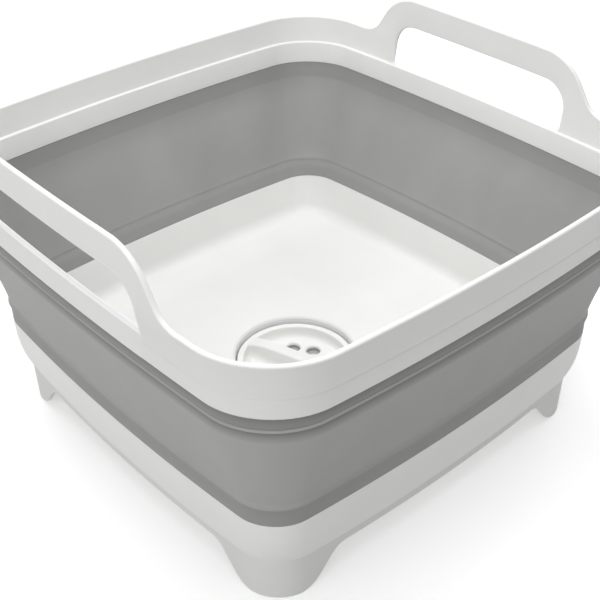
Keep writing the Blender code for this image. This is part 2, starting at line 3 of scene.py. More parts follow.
import bmesh
import bpy
from mathutils import Matrix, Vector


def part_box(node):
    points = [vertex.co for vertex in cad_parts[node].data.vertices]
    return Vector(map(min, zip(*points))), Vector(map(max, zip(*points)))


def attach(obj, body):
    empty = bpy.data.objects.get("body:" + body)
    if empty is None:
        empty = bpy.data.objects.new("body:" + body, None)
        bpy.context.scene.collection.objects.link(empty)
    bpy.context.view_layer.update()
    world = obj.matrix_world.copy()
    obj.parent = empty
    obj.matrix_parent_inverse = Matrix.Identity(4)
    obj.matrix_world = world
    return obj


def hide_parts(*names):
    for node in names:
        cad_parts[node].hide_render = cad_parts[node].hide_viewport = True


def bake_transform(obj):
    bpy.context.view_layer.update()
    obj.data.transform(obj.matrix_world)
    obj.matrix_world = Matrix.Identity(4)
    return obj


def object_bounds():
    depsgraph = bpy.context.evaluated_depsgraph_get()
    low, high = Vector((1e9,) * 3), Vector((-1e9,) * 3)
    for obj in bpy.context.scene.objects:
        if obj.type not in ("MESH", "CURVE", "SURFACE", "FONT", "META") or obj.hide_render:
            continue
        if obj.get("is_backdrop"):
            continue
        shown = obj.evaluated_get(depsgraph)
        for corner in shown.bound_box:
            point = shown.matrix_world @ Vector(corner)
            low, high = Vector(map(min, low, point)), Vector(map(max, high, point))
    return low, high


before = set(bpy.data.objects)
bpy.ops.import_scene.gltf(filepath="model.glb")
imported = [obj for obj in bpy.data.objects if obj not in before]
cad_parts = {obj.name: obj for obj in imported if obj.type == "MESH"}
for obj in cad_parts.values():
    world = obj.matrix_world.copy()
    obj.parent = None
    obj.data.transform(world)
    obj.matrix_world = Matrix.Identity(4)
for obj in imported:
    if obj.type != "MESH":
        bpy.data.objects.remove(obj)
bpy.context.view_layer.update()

# Base: one white polypropylene moulding, about 3 mm thick, that is the basin's floor and lower wall.
# A cup for the drain hangs under the floor, and the skirt round the underside is cut away in four
# shallow arches, which leaves a foot under each corner.
_, base_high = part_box("base_tray")
plug_low, plug_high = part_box("drain_plug")

OUTLINE_HALF = 0.150
HANDLE_SIDE_BOW = 0.0053
PLAIN_SIDE_BOW = 0.0077
BASE_SIDE_BOW = 0.0065
BASE_TOP_INSET = 0.018
BASE_TOP_RADIUS = 0.022
BASE_LOW_RADIUS = 0.023
BASE_WALL = 0.003
BASE_WALL_HEIGHT = 0.0332
BASE_TUCK = 0.0045
BASE_TUCK_CURVE = 3
BASE_EDGE = 0.0006
LIP_HEIGHT = 0.004
LIP_THICKNESS = 0.0016
LIP_EDGE = 0.0005
LIP_TOP_Z = base_high.z
BASE_TOP_Z = LIP_TOP_Z - LIP_HEIGHT
STEP_LINE_Z = BASE_TOP_Z - BASE_WALL_HEIGHT
STEP_ROUND = 0.0009
INNER_DRAFT = 0.0005
FLOOR_LIFT = 0.0042
FLOOR_FALL = 0.0025
FLOOR_FALL_CURVE = 0.8
FLOOR_Z = STEP_LINE_Z + FLOOR_LIFT
FLOOR_EDGE_Z = FLOOR_Z + FLOOR_FALL
FLOOR_THICKNESS = 0.003
FLOOR_FILLET = 0.008
FLOOR_RADIUS = 0.014
FLOOR_MIDDLE_HALF = 0.046
FLOOR_MIDDLE_RADIUS = 0.040
SKIRT_INSET = 0.0011
SKIRT_DRAFT = 0.0006
SKIRT_THICKNESS = 0.0026
SKIRT_EDGE = 0.0007
FOOT_HEIGHT = 0.022
FOOT_RADIUS = 0.020
FOOT_TOE = 0.016
FOOT_ARCH = 0.012
FOOT_SLOPE = math.radians(52)
ARCH_HALF = 0.1088
CUP_RADIUS = 0.0385
CUP_WALL = 0.0025
CUP_FLOOR = 0.0025
CUP_MOUTH = 0.0016
CUP_ROUND = 0.002
CUP_FILLET = 0.001
CUP_SIDES = 128
SPIGOT_HEAD_HEIGHT = 0.003
CUP_FLOOR_Z = plug_low.z + SPIGOT_HEAD_HEIGHT
CUP_UNDER_Z = CUP_FLOOR_Z - CUP_FLOOR
HOLE_EDGE = 0.0004
SPIGOT_HOLE_RADIUS = 0.008
PORT_RADIUS = 0.0045
PORT_CIRCLE = 0.022
PORT_PITCH = math.radians(36)
PORT_SIDES = 40
DRAIN_TURN = math.radians(16.5)
TOOL_OVERRUN = 0.002
SIDE_STEPS = 96
CORNER_STEPS = 16
SHARP_ANGLE = math.radians(40)
MERGE_DISTANCE = 0.000005


def spaced(start, end, steps):
    return [start + (end - start) * k / steps for k in range(steps + 1)]


def between(start, end, share):
    return start + (end - start) * share


def arc(across, up, radius, start, end, steps):
    """Points of an arc in a section, with angles in degrees from the first axis to the second."""
    points = []
    for angle in spaced(math.radians(start), math.radians(end), steps):
        points.append((across + radius * math.cos(angle), up + radius * math.sin(angle)))
    return points


def add_math(tree, operation, first, second=None):
    """Adds a Math node and returns its output."""
    node = tree.nodes.new("ShaderNodeMath")
    node.operation = operation
    for socket, value in zip(node.inputs, (first, second)):
        if isinstance(value, bpy.types.NodeSocket):
            tree.links.new(value, socket)
        elif value is not None:
            socket.default_value = value
    return node.outputs[0]


def add_bow(tree, along, across, half, bow):
    """Pushes a coordinate out, most where the other one is nought: along + bow * along / half *
    (1 - (across / half) ** 2)."""
    ratio = add_math(tree, "DIVIDE", across, half)
    fall = add_math(tree, "SUBTRACT", 1, add_math(tree, "MULTIPLY", ratio, ratio))
    push = add_math(tree, "MULTIPLY", add_math(tree, "DIVIDE", along, half), fall)
    return add_math(tree, "ADD", along, add_math(tree, "MULTIPLY", push, bow))


def make_tub_tree():
    """Carries a section round the tub's outline, a square with bowed sides and round corners. Each
    point of the section holds an inset in X, a corner radius in Y and a height in Z, and its share of
    painted shade goes with it."""
    tree = bpy.data.node_groups.new("tub outline sweep", "GeometryNodeTree")
    tree.is_modifier = True
    sockets = [("Section", "Geometry"), ("Half Width", "Float"), ("Handle Side Bow", "Float"),
               ("Plain Side Bow", "Float"), ("Lower Bow", "Float"), ("Lower Inset", "Float"),
               ("Side Steps", "Int"), ("Corner Steps", "Int"), ("Finish", "Material")]
    for name, kind in sockets:
        tree.interface.new_socket(name, in_out="INPUT", socket_type="NodeSocket" + kind)
    tree.interface.new_socket("Moulding", in_out="OUTPUT", socket_type="NodeSocketGeometry")
    given = tree.nodes.new("NodeGroupInput").outputs
    index = tree.nodes.new("GeometryNodeInputIndex").outputs[0]

    quarter_steps = add_math(tree, "ADD", given["Side Steps"], given["Corner Steps"])
    round_steps = add_math(tree, "MULTIPLY", quarter_steps, 4)
    columns = add_math(tree, "ADD", round_steps, 1)
    level = add_math(tree, "FLOOR", add_math(tree, "DIVIDE", index, columns))
    column = add_math(tree, "SUBTRACT", index, add_math(tree, "MULTIPLY", level, columns))
    step = add_math(tree, "MODULO", column, round_steps)
    quarter = add_math(tree, "FLOOR", add_math(tree, "DIVIDE", step, quarter_steps))
    local = add_math(tree, "SUBTRACT", step, add_math(tree, "MULTIPLY", quarter, quarter_steps))
    doubled = add_math(tree, "MULTIPLY", add_math(tree, "DIVIDE", local, given["Side Steps"]), 2)
    share = add_math(tree, "MINIMUM", add_math(tree, "SUBTRACT", doubled, 1), 1)
    turned_steps = add_math(tree, "SUBTRACT", local, given["Side Steps"])
    turned_steps = add_math(tree, "MAXIMUM", turned_steps, 0)
    right_angle = math.pi / 2
    turned_share = add_math(tree, "DIVIDE", turned_steps, given["Corner Steps"])
    angle = add_math(tree, "MULTIPLY", turned_share, right_angle)

    share_name = tree.nodes.new("GeometryNodeInputNamedAttribute")
    share_name.data_type = "FLOAT"
    share_name.inputs["Name"].default_value = "painted_shade_share"
    place_value = tree.nodes.new("GeometryNodeInputPosition").outputs[0]
    samples = []
    for kind, value in (("FLOAT_VECTOR", place_value), ("FLOAT", share_name.outputs[0])):
        sample = tree.nodes.new("GeometryNodeSampleIndex")
        sample.data_type = kind
        tree.links.new(given["Section"], sample.inputs["Geometry"])
        tree.links.new(value, sample.inputs["Value"])
        tree.links.new(level, sample.inputs["Index"])
        samples.append(sample.outputs[0])
    parts = tree.nodes.new("ShaderNodeSeparateXYZ")
    tree.links.new(samples[0], parts.inputs[0])
    inset, radius, height = parts.outputs

    half = add_math(tree, "SUBTRACT", given["Half Width"], inset)
    flat = add_math(tree, "SUBTRACT", half, radius)
    reach_x = add_math(tree, "MULTIPLY", radius, add_math(tree, "COSINE", angle))
    reach_y = add_math(tree, "MULTIPLY", radius, add_math(tree, "SINE", angle))
    corner = tree.nodes.new("ShaderNodeCombineXYZ")
    tree.links.new(add_math(tree, "ADD", flat, reach_x), corner.inputs["X"])
    along = add_math(tree, "ADD", add_math(tree, "MULTIPLY", share, flat), reach_y)
    tree.links.new(along, corner.inputs["Y"])
    turn = tree.nodes.new("ShaderNodeVectorRotate")
    turn.rotation_type = "Z_AXIS"
    tree.links.new(corner.outputs[0], turn.inputs["Vector"])
    tree.links.new(add_math(tree, "MULTIPLY", quarter, right_angle), turn.inputs["Angle"])
    flat_point = tree.nodes.new("ShaderNodeSeparateXYZ")
    tree.links.new(turn.outputs[0], flat_point.inputs[0])
    x, y, _ = flat_point.outputs

    low_share = add_math(tree, "DIVIDE", inset, given["Lower Inset"])
    low_share = add_math(tree, "MINIMUM", add_math(tree, "MAXIMUM", low_share, 0), 1)
    bows = []
    for side in ("Handle Side Bow", "Plain Side Bow"):
        change = add_math(tree, "SUBTRACT", given["Lower Bow"], given[side])
        change = add_math(tree, "MULTIPLY", change, low_share)
        bows.append(add_math(tree, "ADD", given[side], change))
    point = tree.nodes.new("ShaderNodeCombineXYZ")
    tree.links.new(add_bow(tree, x, y, half, bows[0]), point.inputs["X"])
    tree.links.new(add_bow(tree, y, x, half, bows[1]), point.inputs["Y"])
    tree.links.new(height, point.inputs["Z"])

    count = tree.nodes.new("GeometryNodeAttributeDomainSize")
    tree.links.new(given["Section"], count.inputs[0])
    grid = tree.nodes.new("GeometryNodeMeshGrid")
    tree.links.new(count.outputs["Point Count"], grid.inputs["Vertices X"])
    tree.links.new(columns, grid.inputs["Vertices Y"])
    keep = tree.nodes.new("GeometryNodeStoreNamedAttribute")
    keep.data_type = "FLOAT"
    keep.domain = "POINT"
    keep.inputs["Name"].default_value = "painted_shade_share"
    tree.links.new(grid.outputs["Mesh"], keep.inputs["Geometry"])
    tree.links.new(samples[1], keep.inputs["Value"])
    place = tree.nodes.new("GeometryNodeSetPosition")
    tree.links.new(keep.outputs[0], place.inputs["Geometry"])
    tree.links.new(point.outputs[0], place.inputs["Position"])
    merge = tree.nodes.new("GeometryNodeMergeByDistance")
    merge.inputs["Distance"].default_value = MERGE_DISTANCE
    tree.links.new(place.outputs[0], merge.inputs["Geometry"])
    realize = tree.nodes.new("GeometryNodeRealizeInstances")
    tree.links.new(merge.outputs[0], realize.inputs[0])
    paint = tree.nodes.new("GeometryNodeSetMaterial")
    tree.links.new(realize.outputs[0], paint.inputs["Geometry"])
    tree.links.new(given["Finish"], paint.inputs["Material"])
    tree.links.new(paint.outputs[0], tree.nodes.new("NodeGroupOutput").inputs[0])
    return tree


tub_tree = make_tub_tree()


def link_mesh(name, mesh):
    made = bpy.data.objects.new(name, mesh)
    bpy.context.scene.collection.objects.link(made)
    return made


def apply_modifiers(obj):
    """Replaces an object's mesh by its evaluated one and takes its modifiers off."""
    evaluated = obj.evaluated_get(bpy.context.evaluated_depsgraph_get())
    mesh = bpy.data.meshes.new_from_object(evaluated)
    mesh.name = obj.name
    obj.modifiers.clear()
    obj.data = mesh
    return obj


def sweep_round(name, section, closed, finish):
    """Carries a section round the tub's outline. Its points are inset, corner radius, height and,
    on the soft wall, share of painted shade."""
    points = section + section[:1] if closed else section
    mesh = bpy.data.meshes.new(name)
    edges = [(k, k + 1) for k in range(len(points) - 1)]
    mesh.from_pydata([point[:3] for point in points], edges, [])
    painted_shares = mesh.attributes.new("painted_shade_share", "FLOAT", "POINT")
    for k, point in enumerate(points):
        painted_shares.data[k].value = point[3] if len(point) > 3 else 0
    made = link_mesh(name, mesh)
    modifier = made.modifiers.new("sweep", "NODES")
    modifier.node_group = tub_tree
    values = {
        "Half Width": OUTLINE_HALF,
        "Handle Side Bow": HANDLE_SIDE_BOW,
        "Plain Side Bow": PLAIN_SIDE_BOW,
        "Lower Bow": BASE_SIDE_BOW,
        "Lower Inset": BASE_TOP_INSET,
        "Side Steps": SIDE_STEPS,
        "Corner Steps": CORNER_STEPS,
        "Finish": finish,
    }
    for item in tub_tree.interface.items_tree:
        if item.in_out == "INPUT" and item.name in values:
            modifier[item.identifier] = values[item.name]
    return apply_modifiers(made)


def close_mesh(obj):
    """Fills the open ends of a mesh, turns its faces outwards and smooths them."""
    builder = bmesh.new()
    builder.from_mesh(obj.data)
    open_edges = [edge for edge in builder.edges if edge.is_boundary]
    if open_edges:
        bmesh.ops.holes_fill(builder, edges=open_edges)
    bmesh.ops.recalc_face_normals(builder, faces=builder.faces)
    builder.to_mesh(obj.data)
    builder.free()
    obj.data.shade_smooth()
    obj.data.set_sharp_from_angle(angle=SHARP_ANGLE)
    return obj


def turned(name, profile, sides):
    """Solid turned round Z from a profile of (radius, height) points that starts and ends on Z."""
    builder = bmesh.new()
    verts = [builder.verts.new((radius, 0, height)) for radius, height in profile]
    edges = [builder.edges.new(pair) for pair in zip(verts[:-1], verts[1:])]
    bmesh.ops.spin(builder, geom=verts + edges, cent=(0, 0, 0), axis=(0, 0, 1),
                   angle=math.tau, steps=sides, use_merge=True)
    bmesh.ops.remove_doubles(builder, verts=builder.verts, dist=MERGE_DISTANCE)
    bmesh.ops.recalc_face_normals(builder, faces=builder.faces)
    mesh = bpy.data.meshes.new(name)
    builder.to_mesh(mesh)
    builder.free()
    return link_mesh(name, mesh)


def combine(target, tool, operation):
    """Joins a tool to the target or cuts it out, and removes the tool."""
    modifier = target.modifiers.new(tool.name, "BOOLEAN")
    modifier.operation = operation
    modifier.solver = "EXACT"
    modifier.object = tool
    apply_modifiers(target)
    bpy.data.objects.remove(tool)
    return target


def s_curve(height, low_radius, high_radius, slope, steps):
    """Points up an S-shaped slope, as distances in from its foot and heights."""
    points = []
    for angle in spaced(0, slope, steps):
        points.append((low_radius * math.sin(angle), low_radius * (1 - math.cos(angle))))
    low_run, low_rise = points[-1]
    high_run = high_radius * math.sin(slope)
    high_rise = high_radius * (1 - math.cos(slope))
    length = low_run + (height - low_rise - high_rise) / math.tan(slope) + high_run
    for angle in spaced(slope, 0, steps):
        rise = height - high_radius * (1 - math.cos(angle))
        points.append((length - high_radius * math.sin(angle), rise))
    return points


def height_on(curve, reach):
    """Height of an S-shaped slope at a distance in from its foot."""
    if reach <= 0:
        return 0
    for (near, low), (far, high) in zip(curve[:-1], curve[1:]):
        if near <= reach <= far:
            return between(low, high, (reach - near) / (far - near))
    return curve[-1][1]


def base_section():
    """From the middle of the underside, out and down the skirt, up the outer wall, over the lip that
    the soft wall is bonded to and in again to the floor, which falls towards the drain."""
    inner_inset = BASE_TOP_INSET + BASE_WALL
    inner_radius = BASE_TOP_RADIUS - BASE_WALL
    lip_inset = inner_inset - LIP_THICKNESS
    fillet_inset = inner_inset + INNER_DRAFT + FLOOR_FILLET
    fillet_z = FLOOR_EDGE_Z + FLOOR_FILLET
    middle_inset = OUTLINE_HALF - FLOOR_MIDDLE_HALF
    low_inset = BASE_TOP_INSET + BASE_TUCK
    skirt_low = low_inset + SKIRT_INSET + SKIRT_DRAFT
    skirt_inner = skirt_low + SKIRT_THICKNESS
    under_fillet = FLOOR_FILLET + FLOOR_THICKNESS
    under_angle = math.asin((fillet_inset - skirt_inner) / under_fillet)
    section = [(middle_inset, FLOOR_MIDDLE_RADIUS, FLOOR_Z - FLOOR_THICKNESS)]
    for angle in spaced(0, under_angle, 8):
        radius = between(FLOOR_RADIUS, FOOT_RADIUS - SKIRT_THICKNESS, angle / under_angle)
        inset = fillet_inset - under_fillet * math.sin(angle)
        section.append((inset, radius, fillet_z - under_fillet * math.cos(angle)))
    edge = []
    edge += arc(skirt_inner - SKIRT_EDGE, SKIRT_EDGE, SKIRT_EDGE, 0, -90, 4)
    edge += arc(skirt_low + SKIRT_EDGE, SKIRT_EDGE, SKIRT_EDGE, -90, -180, 4)
    section += [(inset, FOOT_RADIUS + skirt_low - inset, height) for inset, height in edge]
    skirt_high = skirt_low - SKIRT_DRAFT
    section.append((skirt_high, FOOT_RADIUS, STEP_LINE_Z - STEP_ROUND / 3))
    section.append((skirt_high, FOOT_RADIUS, STEP_LINE_Z))
    wall_low = STEP_LINE_Z + STEP_ROUND
    for inset, height in arc(low_inset + STEP_ROUND, wall_low, STEP_ROUND, -90, -180, 4):
        section.append((inset, BASE_LOW_RADIUS + low_inset - inset, height))
    for share in spaced(1, 0, 14)[1:]:
        inset = BASE_TOP_INSET + BASE_TUCK * share ** BASE_TUCK_CURVE
        height = between(BASE_TOP_Z - BASE_EDGE, wall_low, share)
        section.append((inset, between(BASE_TOP_RADIUS, BASE_LOW_RADIUS, share), height))
    top = arc(BASE_TOP_INSET + BASE_EDGE, BASE_TOP_Z - BASE_EDGE, BASE_EDGE, 180, 90, 4)[1:]
    top += [(lip_inset, BASE_TOP_Z), (lip_inset, LIP_TOP_Z), (inner_inset - LIP_EDGE, LIP_TOP_Z)]
    top += arc(inner_inset - LIP_EDGE, LIP_TOP_Z - LIP_EDGE, LIP_EDGE, 60, 0, 2)
    section += [(inset, BASE_TOP_RADIUS + BASE_TOP_INSET - inset, height) for inset, height in top]
    for angle in spaced(math.pi / 2, 0, 12):
        radius = between(FLOOR_RADIUS, inner_radius, math.sin(angle))
        inset = fillet_inset - FLOOR_FILLET * math.sin(angle)
        section.append((inset, radius, fillet_z - FLOOR_FILLET * math.cos(angle)))
    for share in spaced(0, 1, 10)[1:]:
        radius = between(FLOOR_RADIUS, FLOOR_MIDDLE_RADIUS, share)
        height = FLOOR_EDGE_Z - FLOOR_FALL * share ** FLOOR_FALL_CURVE
        section.append((between(fillet_inset, middle_inset, share), radius, height))
    return section


def raise_arches(obj):
    """Lifts the skirt's lower edge between the feet, along an S-shaped slope beside each foot."""
    curve = s_curve(FOOT_HEIGHT, FOOT_TOE, FOOT_ARCH, FOOT_SLOPE, 12)
    for vert in obj.data.vertices:
        if vert.co.z < SKIRT_EDGE + MERGE_DISTANCE:
            reach = ARCH_HALF - min(abs(vert.co.x), abs(vert.co.y))
            vert.co.z += height_on(curve, reach)


def port_tool(name, low, high, radius, mouth):
    """Round cutter on Z for a hole with a rounded mouth at its upper end."""
    profile = [(0, low - TOOL_OVERRUN), (radius, low - TOOL_OVERRUN), (radius, high - mouth)]
    profile += [(radius + mouth * (1 - math.cos(a)), high - mouth * (1 - math.sin(a)))
                for a in spaced(0, math.pi / 2, 5)[1:]]
    profile += [(radius + mouth, high + TOOL_OVERRUN), (0, high + TOOL_OVERRUN)]
    return turned(name, profile, PORT_SIDES)


def cut_ports(target, low, high, mouth):
    """Cuts the row of ports that the plug, the gasket and the cup's floor share."""
    for k in (-1, 0, 1):
        angle = DRAIN_TURN + k * PORT_PITCH
        tool = port_tool("port_tool", low, high, PORT_RADIUS, mouth)
        middle = (PORT_CIRCLE * math.cos(angle), PORT_CIRCLE * math.sin(angle), 0)
        tool.data.transform(Matrix.Translation(middle))
        combine(target, tool, "DIFFERENCE")


def make_group(name, inputs, outputs):
    """Shader node group with named inputs (name, kind, value) and outputs (name, kind)."""
    tree = bpy.data.node_groups.new(name, "ShaderNodeTree")
    for label, kind, value in inputs:
        socket = tree.interface.new_socket(label, in_out="INPUT", socket_type="NodeSocket" + kind)
        socket.default_value = value
    for label, kind in outputs:
        tree.interface.new_socket(label, in_out="OUTPUT", socket_type="NodeSocket" + kind)
    return tree, tree.nodes.new("NodeGroupInput"), tree.nodes.new("NodeGroupOutput")


NOISE_LOW = 0.3
NOISE_HIGH = 0.7


def make_grain_group():
    """Moulded grain: broad clouds, drawn out up and down as the melt flowed, and a fine texture."""
    tree, given, result = make_group(
        "moulded grain",
        [("Mottle Scale", "Float", 20.0), ("Flow", "Float", 0.5), ("Grain Scale", "Float", 900.0)],
        [("Mottle", "Float"), ("Grain", "Float")])
    place = tree.nodes.new("ShaderNodeTexCoord").outputs["Object"]
    drawn = tree.nodes.new("ShaderNodeCombineXYZ")
    drawn.inputs["X"].default_value = 1
    drawn.inputs["Y"].default_value = 1
    tree.links.new(given.outputs["Flow"], drawn.inputs["Z"])
    flow = tree.nodes.new("ShaderNodeVectorMath")
    flow.operation = "MULTIPLY"
    tree.links.new(place, flow.inputs[0])
    tree.links.new(drawn.outputs[0], flow.inputs[1])
    noises = (("Mottle", flow.outputs[0], 3, 0.5), ("Grain", place, 4, 0.6))
    for label, where, detail, roughness in noises:
        noise = tree.nodes.new("ShaderNodeTexNoise")
        noise.inputs["Detail"].default_value = detail
        noise.inputs["Roughness"].default_value = roughness
        tree.links.new(where, noise.inputs["Vector"])
        tree.links.new(given.outputs[label + " Scale"], noise.inputs["Scale"])
        spread = tree.nodes.new("ShaderNodeMapRange")
        spread.inputs["From Min"].default_value = NOISE_LOW
        spread.inputs["From Max"].default_value = NOISE_HIGH
        tree.links.new(noise.outputs["Fac"], spread.inputs["Value"])
        tree.links.new(spread.outputs[0], result.inputs[label])
    return tree


def make_edge_group():
    """Edge polish: where hands and cloths have rubbed raised edges smooth, broken up by noise."""
    tree, given, result = make_group(
        "edge polish", [("Width", "Float", 0.04), ("Break Up", "Float", 60.0)], [("Mask", "Float")])
    point = tree.nodes.new("ShaderNodeNewGeometry").outputs["Pointiness"]
    raised = add_math(tree, "SUBTRACT", point, 0.5)
    raised = add_math(tree, "DIVIDE", raised, given.outputs["Width"])
    noise = tree.nodes.new("ShaderNodeTexNoise")
    place = tree.nodes.new("ShaderNodeTexCoord").outputs["Object"]
    tree.links.new(place, noise.inputs["Vector"])
    tree.links.new(given.outputs["Break Up"], noise.inputs["Scale"])
    worn = add_math(tree, "MULTIPLY", raised, noise.outputs["Fac"])
    worn = add_math(tree, "MINIMUM", add_math(tree, "MAXIMUM", worn, 0), 1)
    tree.links.new(worn, result.inputs["Mask"])
    return tree


grain_group = make_grain_group()
edge_group = make_edge_group()


def add_group(tree, group, values):
    node = tree.nodes.new("ShaderNodeGroup")
    node.node_tree = group
    for label, value in values.items():
        node.inputs[label].default_value = value
    return node.outputs


def add_mix(tree, share, first, second):
    """Mixes two colours, each a socket or a colour, by a share."""
    node = tree.nodes.new("ShaderNodeMix")
    node.data_type = "RGBA"
    sockets = node.inputs[0], node.inputs[6], node.inputs[7]
    for socket, value in zip(sockets, (share, first, second)):
        if isinstance(value, bpy.types.NodeSocket):
            tree.links.new(value, socket)
        elif isinstance(value, tuple):
            socket.default_value = (*value, 1)
        else:
            socket.default_value = value
    return node.outputs[2]


def add_range(tree, value, low, high):
    """Spreads a value from 0..1 over low..high."""
    return add_math(tree, "ADD", add_math(tree, "MULTIPLY", value, high - low), low)


MOTTLE_SCALE = 22.0
MOTTLE_FLOW = 0.6
MOTTLE_ROUGHNESS = 0.05
GRAIN_SCALE = 1400.0
GRAIN_DEPTH = 0.0001
POLISH_WIDTH = 0.05
POLISH_BREAK_UP = 80.0


def moulded_plastic(name, colour, shade, roughness, gloss_edge, bump):
    """Moulded plastic or rubber: a colour with faint mottling, polished edges and a fine grain."""
    material = bpy.data.materials.new(name)
    material.use_nodes = True
    tree = material.node_tree
    shader = tree.nodes["Principled BSDF"]
    look = {"Mottle Scale": MOTTLE_SCALE, "Flow": MOTTLE_FLOW, "Grain Scale": GRAIN_SCALE}
    grain = add_group(tree, grain_group, look)
    edge = add_group(tree, edge_group, {"Width": POLISH_WIDTH, "Break Up": POLISH_BREAK_UP})
    mottled = add_mix(tree, grain["Mottle"], shade, colour)
    tree.links.new(add_mix(tree, edge["Mask"], mottled, colour), shader.inputs["Base Color"])
    low, high = roughness - MOTTLE_ROUGHNESS, roughness + MOTTLE_ROUGHNESS
    rough = add_range(tree, grain["Mottle"], low, high)
    polish = add_math(tree, "MULTIPLY", edge["Mask"], gloss_edge)
    rough = add_math(tree, "SUBTRACT", rough, polish)
    tree.links.new(rough, shader.inputs["Roughness"])
    relief = tree.nodes.new("ShaderNodeBump")
    relief.inputs["Strength"].default_value = bump
    relief.inputs["Distance"].default_value = GRAIN_DEPTH
    tree.links.new(grain["Grain"], relief.inputs["Height"])
    tree.links.new(relief.outputs[0], shader.inputs["Normal"])
    return material


DULL_ROUGHNESS = 0.15


def shade_and_dull_foot(material, top, shade):
    """Darkens the skirt and the feet below a height with painted shade, and gives them the duller face
    that a textured mould leaves.
    """
    tree = material.node_tree
    shader = tree.nodes["Principled BSDF"]
    height = tree.nodes.new("ShaderNodeSeparateXYZ")
    tree.links.new(tree.nodes.new("ShaderNodeTexCoord").outputs["Object"], height.inputs[0])
    # Mask below the height, for the painted shade and the duller finish.
    foot_shade_and_dull = tree.nodes.new("ShaderNodeMapRange")
    foot_shade_and_dull.inputs["From Min"].default_value = top + STEP_ROUND / 2
    foot_shade_and_dull.inputs["From Max"].default_value = top - STEP_ROUND / 2
    tree.links.new(height.outputs["Z"], foot_shade_and_dull.inputs["Value"])
    colour = shader.inputs["Base Color"].links[0].from_socket
    foot_shaded = add_mix(tree, foot_shade_and_dull.outputs[0], colour, shade)
    tree.links.new(foot_shaded, shader.inputs["Base Color"])
    rough = shader.inputs["Roughness"].links[0].from_socket
    added = add_math(tree, "MULTIPLY", foot_shade_and_dull.outputs[0], DULL_ROUGHNESS)
    tree.links.new(add_math(tree, "ADD", rough, added), shader.inputs["Roughness"])


WHITE = (0.91, 0.91, 0.895)
WHITE_SHADE = (0.88, 0.88, 0.866)
# The skirt's and the feet's white, darkened by painted shade.
FOOT_PAINTED_SHADE_WHITE = (0.80, 0.80, 0.787)
base_white = moulded_plastic("satin white moulding", WHITE, WHITE_SHADE, roughness=0.36,
                             gloss_edge=0.10, bump=0.25)
shade_and_dull_foot(base_white, STEP_LINE_Z, FOOT_PAINTED_SHADE_WHITE)

base_moulding = close_mesh(sweep_round("base_moulding", base_section(), False, base_white))
raise_arches(base_moulding)
cup_outer = CUP_RADIUS + CUP_WALL
cup_top = FLOOR_Z - FLOOR_THICKNESS / 2
cup_profile = [(0, CUP_UNDER_Z)]
cup_profile += arc(cup_outer - CUP_ROUND, CUP_UNDER_Z + CUP_ROUND, CUP_ROUND, -90, 0, 6)
cup_profile += [(cup_outer, cup_top), (0, cup_top)]
combine(base_moulding, turned("cup_outside", cup_profile, CUP_SIDES), "UNION")
cup_hollow = [(0, CUP_FLOOR_Z)]
cup_hollow += arc(CUP_RADIUS - CUP_FILLET, CUP_FLOOR_Z + CUP_FILLET, CUP_FILLET, -90, 0, 4)
cup_hollow += arc(CUP_RADIUS + CUP_MOUTH, FLOOR_Z - CUP_MOUTH, CUP_MOUTH, 180, 90, 8)
hollow_top = FLOOR_Z + 2 * TOOL_OVERRUN
cup_hollow += [(CUP_RADIUS + CUP_MOUTH, hollow_top), (0, hollow_top)]
combine(base_moulding, turned("cup_hollow", cup_hollow, CUP_SIDES), "DIFFERENCE")
cut_ports(base_moulding, CUP_UNDER_Z, CUP_FLOOR_Z, HOLE_EDGE)
hole_tool = port_tool("spigot_hole_tool", CUP_UNDER_Z, CUP_FLOOR_Z, SPIGOT_HOLE_RADIUS, HOLE_EDGE)
combine(base_moulding, hole_tool, "DIFFERENCE")
close_mesh(base_moulding)
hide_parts("base_tray", "drain_cup")
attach(base_moulding, "base")

# Drain gasket: a soft grey disc that lies on the cup's floor under the plug. It has the same row of
# ports as the plug and the cup, and a hole in the middle that the plug's spigot snaps through.
gasket_low, gasket_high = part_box("drain_gasket")
GASKET_ROUND = 0.0004
GASKET_HOLE_RADIUS = 0.0053
GASKET_SIDES = 96
GREY = (0.435, 0.435, 0.428)
GREY_SHADE = (0.385, 0.385, 0.38)
gasket_grey = moulded_plastic("soft grey gasket", GREY, GREY_SHADE, roughness=0.6,
                              gloss_edge=0.05, bump=0.3)
low, high = gasket_low.z, gasket_high.z
flat_radius = gasket_high.x - GASKET_ROUND
gasket_profile = [(0, low)] + arc(flat_radius, low + GASKET_ROUND, GASKET_ROUND, -90, 0, 4)
gasket_profile += arc(flat_radius, high - GASKET_ROUND, GASKET_ROUND, 0, 90, 4) + [(0, high)]
gasket = turned("drain_gasket_disc", gasket_profile, GASKET_SIDES)
cut_ports(gasket, low, high, GASKET_ROUND)
hole_tool = port_tool("gasket_hole_tool", low, high, GASKET_HOLE_RADIUS, GASKET_ROUND)
combine(gasket, hole_tool, "DIFFERENCE")
gasket.data.materials.clear()
gasket.data.materials.append(gasket_grey)
close_mesh(gasket)
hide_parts("drain_gasket")
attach(gasket, "drain_seal")

